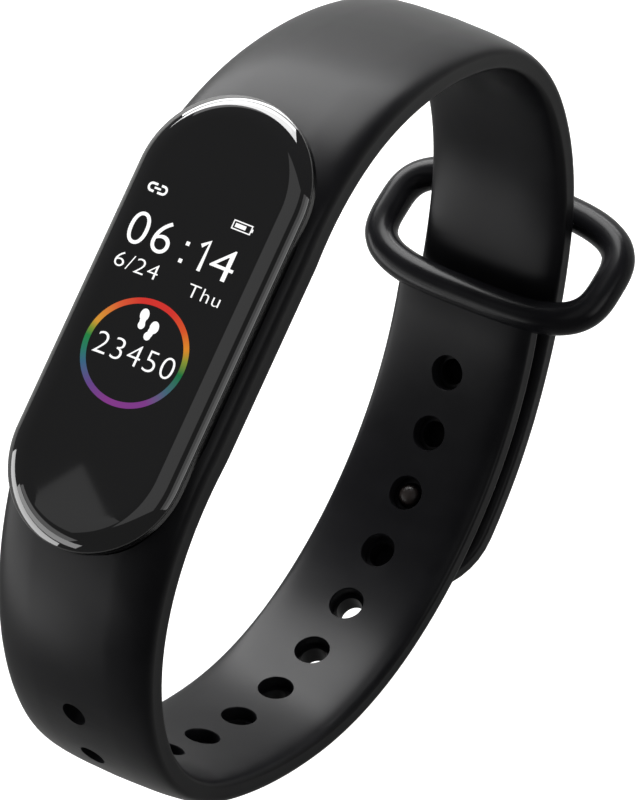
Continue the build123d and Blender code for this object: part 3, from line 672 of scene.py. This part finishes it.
def litMaterial(name, strength):
    # a lit part of the display has no colour or gloss of its own
    lit, tree, shader, coords = newMaterial(name, Roughness=0.5, IOR=1.52, Specular_IOR_Level=0.0,
                                            Emission_Strength=strength)
    shader.inputs["Base Color"].default_value = hexColour("#000000")
    materials[name] = lit
    return tree, shader, coords


# lit display dots: white, with the panel's 0.1 mm grid barely there
tree, shader, coords = litMaterial("litDots", 1.15)
dots = addNode(tree, "ShaderNodeTexVoronoi", {"Scale": 1 / (0.1 * mm), "Randomness": 0.0}, {"Vector": coords})
glow = addNode(tree, "ShaderNodeMapRange", {"From Max": 0.7, "To Min": 1.0, "To Max": 0.92},
               {"Value": dots.outputs["Distance"]})
tree.links.new(glow.outputs["Result"], shader.inputs["Emission Color"])

# the step ring's colours run round it, anticlockwise from the left
tree, shader, coords = litMaterial("litRainbow", 0.88)
centred = addNode(tree, "ShaderNodeMapping", {"Location": (-ringX * mm, -ringY * mm, 0)}, {"Vector": coords})
sweep = addNode(tree, "ShaderNodeTexGradient", links={"Vector": centred.outputs["Vector"]},
                gradient_type="RADIAL")
stops = [(0.0, "#2a8a48"), (0.04, "#2f7f6a"), (0.08, "#3f6a8a"), (0.15, "#6a4a90"), (0.23, "#8a3f90"),
         (0.36, "#844090"), (0.425, "#4a6a80"), (0.49, "#1f7a45"), (0.53, "#8f9a38"), (0.565, "#e8902f"),
         (0.62, "#e25a2f"), (0.69, "#dc3a34"), (0.8, "#dc3a34"), (0.87, "#e2603a"), (0.953, "#e0a03a"),
         (0.978, "#7f9a38"), (1.0, "#2a8a48")]
ramp = toneRamp(tree, sweep.outputs["Fac"], (stops[0][1], stops[-1][1]))
for place, code in stops[1:-1]:
    ramp.color_ramp.elements.new(place).color = hexColour(code)
tree.links.new(ramp.outputs["Color"], shader.inputs["Emission Color"])
print(len(materials), "materials mixed")


def dress(piece, name):
    piece.data.materials.clear()
    piece.data.materials.append(materials[name])
    for face in piece.data.polygons:
        face.material_index = 0


finishes = {
    "strap_body": "mouldedElastomer", "strap_tip": "mouldedElastomer", "closure_stud": "mouldedNylon",
    "stud_cap": "mouldedNylon", "cover_glass": "polishedGlass", "glass_adhesive": "foamTape",
    "upper_housing": "mouldedCase", "lower_housing": "mouldedCase", "housing_seal": "siliconeSeal",
    "sensor_window": "polishedPolycarbonate", "touch_panel": "touchFilm", "display_panel": "panelGlass",
    "display_tape": "foamTape", "display_frame": "rolledSteel", "display_flex": "polyimideFilm",
    "main_board": "solderMask", "radio_chip": "mouldedEpoxy", "memory_chip": "mouldedEpoxy",
    "power_chip": "mouldedEpoxy", "motion_sensor": "mouldedEpoxy", "crystal": "nickelPlate",
    "chip_antenna": "firedCeramic", "shield_can": "nickelPlate", "board_capacitors": "firedCeramic",
    "board_screws": "zincPlate", "battery_tape": "foamTape", "battery_cell": "pouchFoil",
    "battery_tabs": "nickelPlate", "sensor_board": "solderMask", "pulse_leds": "castResin",
    "photodiode": "coatedSilicon", "light_baffle": "foamTape", "charge_contacts": "goldPlate",
    "contact_springs": "springSteel", "motor_base": "nickelPlate", "motor_can": "nickelPlate",
    "motor_shaft": "springSteel", "motor_magnet": "sinteredMagnet", "motor_rotor": "goldPlate",
    "rotor_weight": "pressedTungsten",
}
for node, finish in finishes.items():
    dress(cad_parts[node], finish)
for piece, finish in ((strap, "mouldedElastomer"), (freeEnd, "mouldedElastomer"), (ring, "polishedElastomer"),
                      (stud, "mouldedNylon"), (glass, "polishedGlass"), (clock, "litDots"),
                      (iconPiece, "litDots"), (activityRing, "litRainbow")):
    dress(piece, finish)

# what moves with what
bpy.data.objects.remove(centreLine)
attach(strap, "strap")
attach(ring, "strap")
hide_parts("strap_body")
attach(stud, "tip")
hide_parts("closure_stud")
for piece in (glass, clock, iconPiece, activityRing):
    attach(piece, "pod")
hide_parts("cover_glass")
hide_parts("strap_tip")
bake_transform(freeEnd)
print("pieces attached")

stageValues = {
    "floorDrop": 14, "floorSize": 3000, "floorWhite": 1.0, "floorSpill": 0.0, "room": 0.13,
    "overTurn": 52.3,                # degrees; one corner of this light shows in the glass
}
startClean()
# the floor is low enough for the free end to bend out to its limit
bpy.ops.mesh.primitive_plane_add(size=stageValues["floorSize"] * mm,
                                 location=(0, 0, cadBox[0].z - stageValues["floorDrop"] * mm))
floor = bpy.context.object
floor.name = "floor"
settle(floor)
# opal light table: pale and dull with 60 mm clouds, lit from below, bright to look at but spilling little
paint, tree, shader, coords = newMaterial("opalTable", Roughness=0.9)
cloud = addNode(tree, "ShaderNodeTexNoise", {"Scale": 1 / (60 * mm)}, {"Vector": coords})
ramp = toneRamp(tree, cloud.outputs["Fac"], ("#a2a2a1", "#a6a6a5"))
tree.links.new(ramp.outputs["Color"], shader.inputs["Base Color"])
shader.inputs["Emission Color"].default_value = (1, 1, 1, 1)
ray = addNode(tree, "ShaderNodeLightPath").outputs["Is Camera Ray"]
shine = addNode(tree, "ShaderNodeMapRange", {"To Min": stageValues["floorSpill"],
                "To Max": stageValues["floorWhite"]}, {"Value": ray})
tree.links.new(shine.outputs["Result"], shader.inputs["Emission Strength"])
materials["opalTable"] = paint
dress(floor, "opalTable")

world = bpy.data.worlds.new("softRoom")
bpy.context.scene.world = world
world.use_nodes = True
world.node_tree.nodes["Background"].inputs["Color"].default_value = (1, 1, 1, 1)
world.node_tree.nodes["Background"].inputs["Strength"].default_value = stageValues["room"]

lights = {   # place and point aimed at, size in m, power in W: soft strips, brighter towards the horizon
    "backLow": ((-0.60, 1.04, 0.07), (0, 0, 0), (1.6, 0.20), 14),
    "backMid": ((-0.58, 0.99, 0.32), (0, 0, 0), (1.5, 0.29), 5),
    "backHigh": ((-0.51, 0.88, 0.58), (0, 0, 0), (1.2, 0.20), 1.0),
    "backWash": ((-0.22, 0.38, 0.14), (-0.22, 0.38, 0), (0.5, 0.4), 6),
    "leftLow": ((-0.985, -0.665, 0.167), (0, 0, 0), (1.3, 0.42), 8),
    "leftHigh": ((-0.715, -0.795, 0.545), (0, 0, 0), (1.2, 0.30), 3.2),
    "leftTop": ((-0.683, -0.615, 0.771), (0, 0, 0), (0.9, 0.22), 0.6),
    "rightLow": ((1.13, 0.11, 0.44), (0, 0, 0), (0.9, 0.34), 2),
    "rightMid": ((1.02, 0.11, 0.67), (0, 0, 0), (0.9, 0.17), 0.55),
    "rightHigh": ((0.92, 0.11, 0.81), (0, 0, 0), (0.9, 0.17), 0.3),
    "card": ((0.266, 0.12, 1.20), (0.266, 0.12, 0), (0.9, 1.0), 1.2),
    "over": ((-0.2867, -0.1419, 0.60), (-0.2867, -0.1419, 0), (0.25, 0.25), 0.06),
}
for name, (place, aim, (wide, tall), power) in lights.items():
    startClean()
    bpy.ops.object.light_add(type="AREA", location=place)
    lamp = bpy.context.object
    lamp.name = name
    lamp.data.shape = "RECTANGLE"
    lamp.data.size, lamp.data.size_y = wide, tall
    lamp.data.energy = power
    lamp.rotation_euler = (Vector(aim) - Vector(place)).to_track_quat("-Z", "Y").to_euler()
bpy.data.objects["over"].rotation_euler = (0, 0, math.radians(stageValues["overTurn"]))

cameraValues = {
    "place": (379.2, -75.3, 730.4),  # mm
    "right": (0.8249, 0.4152, -0.3836), "up": (-0.3311, 0.9049, 0.2674),
    "back": (0.4581, -0.0936, 0.8840),
    "lens": 377.78, "sensor": 36, "shift": (0.0110, 0.0016), "reach": 10,
}
startClean()
bpy.ops.object.camera_add()
camera = bpy.context.object
turned = Matrix((cameraValues["right"], cameraValues["up"], cameraValues["back"])).transposed()
camera.matrix_world = Matrix.Translation(Vector(cameraValues["place"]) * mm) @ turned.to_4x4()
camera.data.sensor_width = cameraValues["sensor"]
camera.data.lens = cameraValues["lens"]
camera.data.shift_x, camera.data.shift_y = cameraValues["shift"]
camera.data.clip_end = cameraValues["reach"]
bpy.context.scene.camera = camera
bpy.context.scene.view_settings.view_transform = "Standard"     # black stays black, and white is white
print("stage lit")
